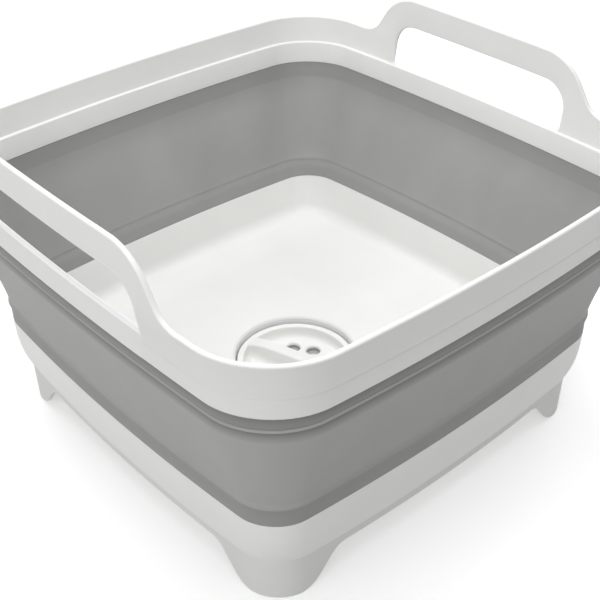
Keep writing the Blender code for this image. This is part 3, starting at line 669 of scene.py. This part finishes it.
# Drain plug: a white moulding like a shallow cup, with a bar across it to grip and turn it by. Three
# ports go down through the floor of the pocket on one side of the bar.
PLUG_RADIUS = plug_high.x
PLUG_SINK = 0.004
PLUG_TOP_Z = FLOOR_Z - PLUG_SINK
PLUG_RING = 0.0042
PLUG_EDGE = 0.0010
POCKET_DEPTH = 0.008
PLUG_FLOOR = 0.0022
POCKET_Z = PLUG_TOP_Z - POCKET_DEPTH
PLUG_UNDER_Z = POCKET_Z - PLUG_FLOOR
POCKET_FILLET = 0.0045
SPIGOT_RADIUS = 0.005
SPIGOT_HEAD = 0.0065
SPIGOT_ROUND = 0.0015
PLUG_SIDES = 128
BAR_WIDTH = 0.0085
BAR_END_WIDTH = 0.0115
BAR_END_CURVE = 6
BAR_CROWN = 0.0033
BAR_CROWN_CURVE = 4
BAR_DROP = 0.0002
BAR_ROUND = 0.0014
BAR_FILLET = 0.0045
BAR_STEPS = 40
PORT_MOUTH = 0.0017
plug_white = moulded_plastic("white drain plug", WHITE, WHITE_SHADE, roughness=0.34,
                             gloss_edge=0.10, bump=0.2)


def plug_profile():
    """From the spigot's headed end, out along the underside, up over the ring and into the pocket."""
    profile = [(0, plug_low.z)]
    profile += arc(SPIGOT_HEAD - SPIGOT_ROUND, plug_low.z + SPIGOT_ROUND, SPIGOT_ROUND, -90, 0, 4)
    profile += [(SPIGOT_HEAD, CUP_FLOOR_Z), (SPIGOT_RADIUS, CUP_FLOOR_Z)]
    profile += [(SPIGOT_RADIUS, PLUG_UNDER_Z)]
    profile += arc(PLUG_RADIUS - PLUG_EDGE, PLUG_UNDER_Z + PLUG_EDGE, PLUG_EDGE, -90, 0, 5)
    profile += arc(PLUG_RADIUS - PLUG_EDGE, PLUG_TOP_Z - PLUG_EDGE, PLUG_EDGE, 0, 90, 6)
    inner = PLUG_RADIUS - PLUG_RING
    profile += arc(inner + PLUG_EDGE, PLUG_TOP_Z - PLUG_EDGE, PLUG_EDGE, 90, 180, 6)
    profile += arc(inner - POCKET_FILLET, POCKET_Z + POCKET_FILLET, POCKET_FILLET, 0, -90, 8)
    profile += [(0, POCKET_Z)]
    return profile


def grip_bar():
    """Bar across the pocket: crowned along its length, wider where it joins the ring, and filleted
    into the pocket's floor."""
    builder = bmesh.new()
    reach = PLUG_RADIUS - PLUG_RING / 2
    rows = []
    for along in spaced(-1, 1, BAR_STEPS):
        half = between(BAR_WIDTH, BAR_END_WIDTH, along ** BAR_END_CURVE) / 2
        top = PLUG_TOP_Z - BAR_DROP + BAR_CROWN * (1 - along ** BAR_CROWN_CURVE)
        foot = half + BAR_FILLET
        section = [(-foot, POCKET_Z - PLUG_FLOOR / 2)]
        section += arc(-foot, POCKET_Z + BAR_FILLET, BAR_FILLET, -90, 0, 7)
        section += arc(-half + BAR_ROUND, top - BAR_ROUND, BAR_ROUND, 180, 90, 6)
        section += [(-across, up) for across, up in reversed(section)]
        rows.append([builder.verts.new((across, along * reach, up)) for across, up in section])
    for one, other in zip(rows[:-1], rows[1:]):
        for k, vert in enumerate(one):
            after = (k + 1) % len(one)
            builder.faces.new((vert, one[after], other[after], other[k]))
    builder.faces.new(rows[0])
    builder.faces.new(rows[-1])
    bmesh.ops.recalc_face_normals(builder, faces=builder.faces)
    mesh = bpy.data.meshes.new("grip_bar")
    builder.to_mesh(mesh)
    builder.free()
    mesh.transform(Matrix.Rotation(DRAIN_TURN, 4, "Z"))
    return link_mesh("grip_bar", mesh)


plug = turned("drain_plug_moulding", plug_profile(), PLUG_SIDES)
combine(plug, grip_bar(), "UNION")
cut_ports(plug, PLUG_UNDER_Z, POCKET_Z, PORT_MOUTH)
plug.data.materials.clear()
plug.data.materials.append(plug_white)
close_mesh(plug)
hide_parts("drain_plug")
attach(plug, "drain_knob")

# Soft wall: one grey moulding of soft rubber, bonded to the rim above and to the base below. Thicker
# bands run round both edges, the upper one with a thin bead, and the panel between them rolls over
# the crease when the basin folds down.
_, hem_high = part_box("wall_bottom_hem")
_, panel_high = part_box("fold_panel")
rim_low, rim_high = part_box("top_rim")
RIM_BOTTOM_Z = rim_low.z
PANEL_TOP_Z = panel_high.z
CREASE_Z = hem_high.z
WALL_TOP_RADIUS = 0.038
CREASE_RADIUS = 0.0227
PANEL_TOP_INSET = 0.0026
PANEL_LOW_INSET = 0.0182
PANEL_HOLLOW = 0.0012
PANEL_THICKNESS = 0.002
BEAD_REACH = 0.0008
WALL_SEAM = 0.0001
FOLD_LINE = 0.0046
FOLD_SWELL = 0.004
# Darker grey that the painted shade mixes in.
PAINTED_SHADE_GREY = (0.15, 0.15, 0.147)
# Points of the bands, as inset, height and share of painted shade, which darkens the grey under the
# rim and the bead, round the crease and the fold and over the inner face. The heights are drops from
# the rim in the upper bands, and rises from the crease or the fold line in the others.
UPPER_BAND = ((0.0009, 0, 0.85), (0.0010, 0.0035, 0.6), (0.0010, 0.0056, 0.42),
              (0.0012, 0.0064, 0.3))
BELOW_BEAD = ((0.0018, 0.0081, 1), (0.0020, 0.0094, 0.85), (0.0021, 0.0115, 0.55),
              (0.0022, 0.0142, 0.25), (0.0024, 0.0158, 0.1))
LOWER_BAND = ((0.0177, 0.0012, 0), (0.0173, 0.0004, 0.05), (0.0170, -0.0005, 0.15),
              (0.0172, -0.0014, 0.4), (0.0177, -0.0022, 0.42), (0.0179, -0.0060, 0.42))
INNER_LOWER_BAND = ((0.0207, -0.0022, 0.3), (0.0204, -0.0010, 0.28), (0.0200, 0.0008, 0.22),
                    (0.0192, 0.0028, 0.2))
INNER_FOLD = ((0.0189, -0.0006, 0.2), (0.0189, 0, 0.3), (0.0190, 0.0004, 0.3),
              (0.0191, 0.0009, 0.22), (0.0191, 0.0016, 0.2))
INNER_UPPER_BAND = ((0.0046, 0.0108, 0.2), (0.0046, 0.0102, 0.34), (0.0042, 0.0040, 0.42),
                    (0.0036, 0, 0.55))
# Painted shade over the whole inner panel and at the wall's lower edge.
INNER_SHADE = 0.2
LOWER_SHADE = 0.42
INNER_PANEL = (0.12, 0.78)
WAVE_DEPTH = 0.0008
WAVE_STRENGTH = 0.5
SHEEN = 0.08
SHEEN_ROUGHNESS = 0.5


def wall_radius(height):
    """Corner radius of the wall's outer face at a height."""
    share = min(max((height - CREASE_Z) / (PANEL_TOP_Z - CREASE_Z), 0), 1)
    low_share = min(max((CREASE_Z - height) / (CREASE_Z - BASE_TOP_Z), 0), 1)
    upper = between(CREASE_RADIUS, WALL_TOP_RADIUS - PANEL_TOP_INSET, share)
    return between(upper, BASE_TOP_RADIUS, low_share)


def panel_inset(share):
    """Inset of the panel's hollow outer face at a share of its height above the crease."""
    straight = between(PANEL_LOW_INSET, PANEL_TOP_INSET, share)
    return straight + PANEL_HOLLOW * math.sin(math.pi * share)


def wall_outside():
    """Outer face from the rim down, as (inset, height, painted shade share). The share is 0 on the
    panel.
    """
    top = RIM_BOTTOM_Z - WALL_SEAM
    points = [(inset, top - drop, painted_share) for inset, drop, painted_share in UPPER_BAND]
    inset, height, painted_share = points[-1]
    for across, up in arc(inset, height - BEAD_REACH, BEAD_REACH, 90, 270, 8)[1:]:
        points.append((across, up, painted_share / 2))
    points += [(inset, top - drop, painted_share) for inset, drop, painted_share in BELOW_BEAD]
    for share in spaced(1, 0, 24)[:-1]:
        points.append((panel_inset(share), between(CREASE_Z, PANEL_TOP_Z, share), 0))
    points += [(inset, CREASE_Z + rise, painted_share) for inset, rise, painted_share in LOWER_BAND]
    points.append((BASE_TOP_INSET, BASE_TOP_Z + WALL_SEAM, LOWER_SHADE))
    return points


def wall_inside():
    """Inner face from the base up, as (inset, height, painted shade share)."""
    lip_face = BASE_TOP_INSET + BASE_WALL - LIP_THICKNESS - WALL_SEAM
    foot = LIP_TOP_Z + WALL_SEAM
    lower_inset, _, lower_painted_share = INNER_LOWER_BAND[0]
    points = [(lip_face, BASE_TOP_Z + WALL_SEAM, lower_painted_share), (lip_face, foot, lower_painted_share)]
    points.append((lower_inset, foot, lower_painted_share))
    points += [(inset, CREASE_Z + rise, painted_share) for inset, rise, painted_share in INNER_LOWER_BAND]
    points += [(inset, CREASE_Z + FOLD_LINE + rise, painted_share) for inset, rise, painted_share in INNER_FOLD]
    for share in spaced(*INNER_PANEL, 14):
        height = between(CREASE_Z, PANEL_TOP_Z, share)
        points.append((panel_inset(share) + PANEL_THICKNESS, height, INNER_SHADE))
    last_inset, last_height, _ = points[-1]
    top = RIM_BOTTOM_Z - WALL_SEAM
    band_inset, band_drop, painted_shade_share = INNER_UPPER_BAND[0]
    for share in spaced(0, 1, 8)[1:-1]:
        inset = between(last_inset, band_inset, math.sin(share * math.pi / 2))
        height = between(last_height, top - band_drop, share)
        points.append((inset, height, between(INNER_SHADE, painted_shade_share, share)))
    points += [(inset, top - drop, painted_share) for inset, drop, painted_share in INNER_UPPER_BAND]
    return points


def soft_rubber():
    """Matt grey rubber with soft waves, with painted shade mixed in by each point's share."""
    material = moulded_plastic("soft grey wall", GREY, GREY_SHADE, roughness=0.62,
                               gloss_edge=0.04, bump=0.35)
    tree = material.node_tree
    shader = tree.nodes["Principled BSDF"]
    groups = [node for node in tree.nodes if node.type == "GROUP"]
    grain = next(node for node in groups if node.node_tree == grain_group)
    waves = tree.nodes.new("ShaderNodeBump")
    waves.inputs["Strength"].default_value = WAVE_STRENGTH
    waves.inputs["Distance"].default_value = WAVE_DEPTH
    tree.links.new(grain.outputs["Mottle"], waves.inputs["Height"])
    relief = shader.inputs["Normal"].links[0].from_node
    tree.links.new(waves.outputs[0], relief.inputs["Normal"])
    # Painted shade: each point's share mixes the grey towards a darker grey.
    painted_share = tree.nodes.new("ShaderNodeAttribute")
    painted_share.attribute_name = "painted_shade_share"
    colour = shader.inputs["Base Color"].links[0].from_socket
    painted_shade_colour = add_mix(tree, painted_share.outputs["Fac"], colour, PAINTED_SHADE_GREY)
    tree.links.new(painted_shade_colour, shader.inputs["Base Color"])
    shader.inputs["Sheen Weight"].default_value = SHEEN
    shader.inputs["Sheen Roughness"].default_value = SHEEN_ROUGHNESS
    return material


wall_section = []
for inset, height, painted_share in wall_outside():
    wall_section.append((inset, wall_radius(height), height, painted_share))
for inset, height, painted_share in wall_inside():
    swell = FOLD_SWELL * max(0, 1 - abs(height - CREASE_Z - FOLD_LINE) / (2 * FOLD_LINE))
    wall_section.append((inset, wall_radius(height) - PANEL_THICKNESS + swell, height, painted_share))
soft_wall = close_mesh(sweep_round("soft_wall", wall_section, True, soft_rubber()))
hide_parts("wall_bottom_hem", "fold_panel", "wall_top_hem")
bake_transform(soft_wall)

# Top rim: one white moulding that stiffens the mouth. Its wall flares out over a step to a round upper
# edge, which rises over both sides into the arched handles, and a ledge runs round the inside at the
# height of the handle windows' sills.
RIM_HEIGHT = 0.0326
HANDLE_RISE = rim_high.z - RIM_BOTTOM_Z - RIM_HEIGHT
RIM_FLARE = 0.0038
FLARE_STRAIGHT = 0.45
RIM_RADIUS = 0.038
TOP_THICKNESS = 0.0031
TOP_OUTER_ROUND = 0.0012
TOP_INNER_ROUND = 0.0012
FACE_HEIGHT = RIM_HEIGHT - TOP_THICKNESS
LEDGE_HEIGHT = 0.0149
HANDLE_HALF = 0.099
HANDLE_LEAN = 0.0011
HANDLE_FOOT = 0.016
HANDLE_CROWN = 0.0316
HANDLE_SLOPE = math.radians(56.5)
HANDLE_BAR = 0.0186
WINDOW_HALF = 0.070
WINDOW_RADIUS = 0.016
WINDOW_ROUND = 0.0009
WINDOW_OVERRUN = 4.5
SILL_DROP = 0.0002
SILL_HEIGHT = LEDGE_HEIGHT - SILL_DROP
SILL_CORNER = 0.002
SILL_ROUND = 0.0014
SILL_INSET = 0.001
RELIEF_FADE = 0.004
LOWER_THICKNESS = 0.0034
UPPER_THICKNESS = 0.0024
LEDGE_ROUND = 0.0004
STEP_HEIGHT = 0.0118
STEP_DEPTH = 0.0005
LOWER_CURVE = 2.5
STEP_GROOVE = 0.0003


def flare(height):
    """How far the outer face stands out at a height, as it curves out towards the top."""
    share = height / RIM_HEIGHT
    return RIM_FLARE * between(share * share, share, FLARE_STRAIGHT)


def lower_face(height):
    """Inset of the outer face below the step, which curves out to just inside the face above."""
    return (STEP_DEPTH - flare(STEP_HEIGHT)) * (height / STEP_HEIGHT) ** LOWER_CURVE


def rim_section():
    """From under the lower edge, up the outer face, over the top, down the inner face and over the
    ledge, as (inset, corner radius, height) points."""
    points = arc(LEDGE_ROUND, LEDGE_ROUND, LEDGE_ROUND, -90, -180, 4)
    for height in spaced(3 * LEDGE_ROUND, STEP_HEIGHT - 3 * STEP_GROOVE, 10):
        points.append((lower_face(height), height))
    groove = lower_face(STEP_HEIGHT) + STEP_GROOVE
    points += [(groove, STEP_HEIGHT - STEP_GROOVE), (groove - STEP_GROOVE / 2, STEP_HEIGHT)]
    for height in spaced(STEP_HEIGHT + STEP_GROOVE, FACE_HEIGHT, 12):
        points.append((-flare(height), height))
    outer = TOP_OUTER_ROUND - RIM_FLARE
    inner = TOP_THICKNESS - RIM_FLARE - TOP_INNER_ROUND
    points += arc(outer, RIM_HEIGHT - TOP_OUTER_ROUND, TOP_OUTER_ROUND, 180, 90, 10)
    points += arc(inner, RIM_HEIGHT - TOP_INNER_ROUND, TOP_INNER_ROUND, 90, 0, 10)
    upper = UPPER_THICKNESS - flare(LEDGE_HEIGHT)
    points += [(inner + TOP_INNER_ROUND, FACE_HEIGHT), (upper, LEDGE_HEIGHT + 2 * LEDGE_ROUND)]
    points += arc(upper + LEDGE_ROUND, LEDGE_HEIGHT + LEDGE_ROUND, LEDGE_ROUND, 180, 270, 3)
    lower = LOWER_THICKNESS - LEDGE_ROUND
    points += arc(lower, LEDGE_HEIGHT - LEDGE_ROUND, LEDGE_ROUND, 90, 0, 4)
    points += arc(lower, LEDGE_ROUND, LEDGE_ROUND, 0, -90, 4)
    return [(inset, RIM_RADIUS - inset, RIM_BOTTOM_Z + height) for inset, height in points]


def raise_handles(obj):
    """Lifts the round upper edge over the handles and leans it in."""
    curve = s_curve(HANDLE_RISE, HANDLE_FOOT, HANDLE_CROWN, HANDLE_SLOPE, 12)
    for vert in obj.data.vertices:
        x, y, z = vert.co
        if z > RIM_BOTTOM_Z + FACE_HEIGHT + LEDGE_ROUND and abs(x) > abs(y):
            rise = height_on(curve, HANDLE_HALF - abs(y))
            vert.co.z += rise
            vert.co.x -= math.copysign(HANDLE_LEAN * rise / HANDLE_RISE, x)


def handle_face(inset, y):
    """Distance from the middle of the tub to a face of the handle's side."""
    half = OUTLINE_HALF - inset
    bow = between(HANDLE_SIDE_BOW, BASE_SIDE_BOW, max(inset, 0) / BASE_TOP_INSET)
    return half + bow * (1 - (y / half) ** 2)


def sill_relief(y):
    """Share of the relief for the fingers that the face under a window has at a place along it."""
    share = min(max((WINDOW_HALF - abs(y)) / RELIEF_FADE, 0), 1)
    return share * share * (3 - 2 * share)


def relieve_sills(obj):
    """Leans the outer face under both windows in, which takes the step out of it there."""
    for vert in obj.data.vertices:
        x, y, z = vert.co
        height = z - RIM_BOTTOM_Z
        outside = abs(x) > handle_face(UPPER_THICKNESS / 2 - flare(height) / 2, y)
        if abs(x) > abs(y) and outside and height < SILL_HEIGHT + SILL_CORNER:
            face = handle_face(SILL_INSET * height / SILL_HEIGHT, y)
            vert.co.x = math.copysign(between(abs(x), face, sill_relief(y)), x)


def window_outline(grow, grow_low):
    """Window in the handle's side, as (y, height) points, grown by a distance all round."""
    low = SILL_HEIGHT - grow_low
    high = RIM_HEIGHT + HANDLE_RISE - HANDLE_BAR + grow
    half = WINDOW_HALF + grow
    radius = WINDOW_RADIUS + grow
    points = [(across, low) for across in spaced(0, half - SILL_CORNER, 16)]
    points += arc(half - SILL_CORNER, low + SILL_CORNER, SILL_CORNER, -90, 0, 5)[1:]
    points += arc(half - radius, high - radius, radius, 0, 90, 20)
    points += [(across, high) for across in spaced(half - radius, 0, 10)[1:]]
    return points + [(-across, up) for across, up in reversed(points[1:-1])]


def window_face(face, y, height):
    """Inset of the outer or inner face of the wall that a window goes through."""
    share = min(max((height - FACE_HEIGHT) / HANDLE_RISE, 0), 1)
    low_share = min(max(1 - (height - SILL_HEIGHT) / SILL_CORNER, 0), 1)
    if face == "outer":
        plain = HANDLE_LEAN * share - flare(min(height, RIM_HEIGHT))
        return between(plain, SILL_INSET, sill_relief(y) * low_share)
    face_share = min(max((height - LEDGE_HEIGHT) / (FACE_HEIGHT - LEDGE_HEIGHT), 0), 1)
    upper = UPPER_THICKNESS - flare(LEDGE_HEIGHT)
    plain = between(upper, TOP_THICKNESS - RIM_FLARE, face_share) + HANDLE_LEAN * share
    return between(plain, LOWER_THICKNESS, low_share)


def window_tool(side):
    """Cutter for one window, flared at both faces of the wall so that the edges come out round. A
    station is a face, a depth in from it and a growth of the outline, both in edge radii."""
    rings = []
    rounds = spaced(0, math.pi / 2, 5)
    for angle in rounds:
        rings.append(("outer", math.sin(angle), 1 - math.sin(angle)))
    for angle in reversed(rounds):
        rings.append(("inner", -math.sin(angle), 1 - math.sin(angle)))
    builder = bmesh.new()
    loops = []
    stations = [("outer", -WINDOW_OVERRUN, 1)] + rings + [("inner", WINDOW_OVERRUN, 1)]
    for face, depth, grow in stations:
        loop = []
        grow_low = SILL_ROUND * grow if face == "outer" else 0
        for y, height in window_outline(WINDOW_ROUND * grow, grow_low):
            on_sill = face == "outer" and height < SILL_HEIGHT + SILL_CORNER
            reach = depth * (SILL_ROUND if on_sill else WINDOW_ROUND)
            x = handle_face(window_face(face, y, height), y) - reach
            loop.append(builder.verts.new((side * x, y, RIM_BOTTOM_Z + height)))
        loops.append(loop)
    for one, other in zip(loops[:-1], loops[1:]):
        for k, vert in enumerate(one):
            after = (k + 1) % len(one)
            builder.faces.new((vert, one[after], other[after], other[k]))
    for end in (loops[0], loops[-1]):
        bmesh.ops.triangulate(builder, faces=[builder.faces.new(end)])
    bmesh.ops.recalc_face_normals(builder, faces=builder.faces)
    mesh = bpy.data.meshes.new("window_tool")
    builder.to_mesh(mesh)
    builder.free()
    return link_mesh("window_tool", mesh)


# The rim's white is the base's white made darker all over: painted shade.
RIM_SHADED_WHITE = (0.875, 0.875, 0.862)
RIM_SHADED_MOTTLE = (0.845, 0.845, 0.832)
rim_shaded_white = moulded_plastic("satin white rim", RIM_SHADED_WHITE, RIM_SHADED_MOTTLE, roughness=0.46,
                            gloss_edge=0.04, bump=0.25)
top_rim = close_mesh(sweep_round("rim_moulding", rim_section(), True, rim_shaded_white))
raise_handles(top_rim)
relieve_sills(top_rim)
for side in (1, -1):
    combine(top_rim, window_tool(side), "DIFFERENCE")
close_mesh(top_rim)
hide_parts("top_rim")
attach(top_rim, "rim")

# Floor and light: a plain pale floor inside a tent of soft white panels, brightest above, behind and
# before the left corner. The floor glows to look white but lights nothing, and the tent's lower half
# fills from below.
FLOOR_SIZE = 12.0
FLOOR_DROP = 0.0002
FLOOR_WHITE = (0.93, 0.93, 0.93)
FLOOR_ROUGHNESS = 0.9
FLOOR_GLOW = 0.25
TENT_ABOVE = 0.27
TENT_BELOW = 0.47
HORIZON = 0.02
# Name, place, width and power of each panel.
PANELS = (
    ("panel_top", (0, 0, 1.5), 1.3, 11.5),
    ("panel_right", (1.2, 0, 1.2), 1.2, 5),
    ("panel_back", (0, 1.2, 1.2), 1.2, 7.7),
    ("panel_front_left", (-0.9, -0.9, 1.2), 1.2, 7.2),
    ("panel_low_left", (-1.6, 0, 0.6), 1.2, 5),
)


def add_floor():
    mesh = bpy.data.meshes.new("studio_floor")
    half = FLOOR_SIZE / 2
    corners = [(x * half, y * half, -FLOOR_DROP) for x, y in ((-1, -1), (1, -1), (1, 1), (-1, 1))]
    mesh.from_pydata(corners, [], [(0, 1, 2, 3)])
    floor = link_mesh("studio_floor", mesh)
    floor.visible_diffuse = False
    floor.visible_shadow = False
    material = bpy.data.materials.new("pale studio floor")
    material.use_nodes = True
    shader = material.node_tree.nodes["Principled BSDF"]
    shader.inputs["Base Color"].default_value = (*FLOOR_WHITE, 1)
    shader.inputs["Roughness"].default_value = FLOOR_ROUGHNESS
    shader.inputs["Emission Color"].default_value = (1, 1, 1, 1)
    shader.inputs["Emission Strength"].default_value = FLOOR_GLOW
    mesh.materials.append(material)
    floor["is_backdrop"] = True


def add_panel(name, place, size, power):
    light = bpy.data.lights.new(name, "AREA")
    light.shape = "DISK"
    light.size = size
    light.energy = power
    lamp = bpy.data.objects.new(name, light)
    bpy.context.scene.collection.objects.link(lamp)
    back = Matrix.Translation(place).translation.normalized()
    lamp.location = place
    lamp.rotation_mode = "QUATERNION"
    lamp.rotation_quaternion = (-back).to_track_quat("-Z", "Y")


def add_tent():
    """World light that has one strength above the horizon and another below it."""
    world = bpy.data.worlds.new("studio")
    bpy.context.scene.world = world
    world.use_nodes = True
    tree = world.node_tree
    split = tree.nodes.new("ShaderNodeSeparateXYZ")
    tree.links.new(tree.nodes.new("ShaderNodeTexCoord").outputs["Generated"], split.inputs[0])
    level = tree.nodes.new("ShaderNodeMapRange")
    level.inputs["From Min"].default_value = -HORIZON
    level.inputs["From Max"].default_value = HORIZON
    level.inputs["To Min"].default_value = TENT_BELOW
    level.inputs["To Max"].default_value = TENT_ABOVE
    tree.links.new(split.outputs["Z"], level.inputs["Value"])
    background = tree.nodes["Background"]
    tree.links.new(level.outputs[0], background.inputs["Color"])
    background.inputs["Strength"].default_value = 1


add_floor()
for panel in PANELS:
    add_panel(*panel)
add_tent()
bpy.context.scene.view_settings.view_transform = "Standard"

# Camera: stands above the corner between the left handle and the front, at the photograph's angle.
CAMERA_PLACE = (-0.3696, -0.4253, 0.4711)
CAMERA_AZIMUTH = math.radians(-41.32)
CAMERA_ELEVATION = math.radians(35.12)
CAMERA_ROLL = math.radians(-0.52)
CAMERA_LENS = 66.6
CAMERA_SENSOR = 36
CAMERA_NEAR = 0.01


def add_camera():
    camera = bpy.data.cameras.new("camera")
    camera.lens = CAMERA_LENS
    camera.sensor_width = CAMERA_SENSOR
    camera.clip_start = CAMERA_NEAR
    made = bpy.data.objects.new("camera", camera)
    bpy.context.scene.collection.objects.link(made)
    turn = Matrix.Rotation(CAMERA_AZIMUTH, 4, "Z")
    tilt = Matrix.Rotation(math.pi / 2 - CAMERA_ELEVATION, 4, "X")
    roll = Matrix.Rotation(CAMERA_ROLL, 4, "Z")
    made.matrix_world = Matrix.Translation(CAMERA_PLACE) @ turn @ tilt @ roll
    bpy.context.scene.camera = made


add_camera()

low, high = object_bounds()
